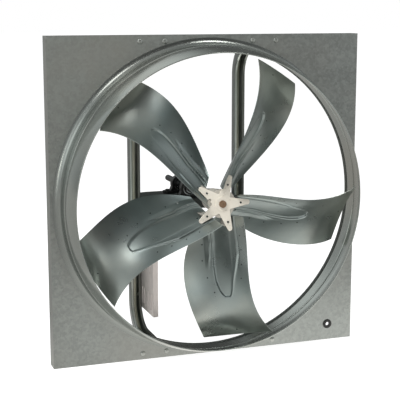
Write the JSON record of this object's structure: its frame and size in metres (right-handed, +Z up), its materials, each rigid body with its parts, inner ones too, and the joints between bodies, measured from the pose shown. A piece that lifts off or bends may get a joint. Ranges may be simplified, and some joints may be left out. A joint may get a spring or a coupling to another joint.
{
  "type": "panel exhaust fan",
  "caption": "Square galvanised wall panel with a drawn ring, a five-blade twisted propeller on a bearing-mounted shaft, and a bent two-post belt-drive frame behind.",
  "frame": {"origin": "on the fan axis, in the plane of the panel's front face", "axes": "+X right seen from the blowing side, +Y back along the fan axis towards the drive frame, +Z up"},
  "size_m": [1.374, 0.811, 1.3716],
  "materials": {
    "galvanised_panel": "galvanised, spangled",
    "galvanised_ring": "galvanised, satin",
    "galvanised_frame": "galvanised, satin",
    "galvanised_plate": "galvanised, bright",
    "galvanised_blade": "galvanised, semi-gloss",
    "zinc_fixings": "zinc plated",
    "dark_steel": "dark grey paint",
    "black_iron": "black paint",
    "bearing_steel": "ground",
    "seal_rubber": "matte",
    "grommet_rubber": "matte",
    "brass_fitting": "satin",
    "shaft_steel": "turned, light rust",
    "black_screws": "black oxide",
    "hub_casting": "light grey paint",
    "cream_star": "cream, satin",
    "rivet_steel": "zinc plated"
  },
  "bodies": {
    "frame": {"wall_panel": "galvanised_panel", "orifice_ring": "galvanised_ring", "corner_rivets": "zinc_fixings", "left_post": "galvanised_frame", "right_post": "galvanised_frame", "post_feet": "galvanised_frame", "foot_bolts": "zinc_fixings", "foot_nuts": "zinc_fixings", "bearing_base": "dark_steel", "base_angles": "dark_steel", "base_bolts": "zinc_fixings", "base_nuts": "zinc_fixings", "pillow_front": "black_iron", "pillow_rear": "black_iron", "bearing_outers": "bearing_steel", "bearing_balls": "bearing_steel", "bearing_seals": "seal_rubber", "pillow_bolts": "zinc_fixings", "grease_fittings": "brass_fitting", "motor_plate": "galvanised_plate", "motor_plate_bolts": "zinc_fixings", "motor_plate_nuts": "zinc_fixings", "grommet": "grommet_rubber"},
    "rotor": {"fan_shaft": "shaft_steel", "bearing_inners": "bearing_steel", "bearing_set_screws": "black_screws", "hub_boss": "hub_casting", "hub_key": "shaft_steel", "hub_set_screws": "black_screws", "star_plate": "cream_star", "star_rivets": "rivet_steel", "blade_1": "galvanised_blade", "blade_2": "galvanised_blade", "blade_3": "galvanised_blade", "blade_4": "galvanised_blade", "blade_5": "galvanised_blade", "blade_rivets": "rivet_steel", "blade_pads": "hub_casting"}
  },
  "joints": [
    {"name": "fan_spin", "type": "hinge", "parent": "frame", "child": "rotor", "pos_m": [0, 0, 0], "axis": [0, 1, 0], "continuous": true}
  ]
}
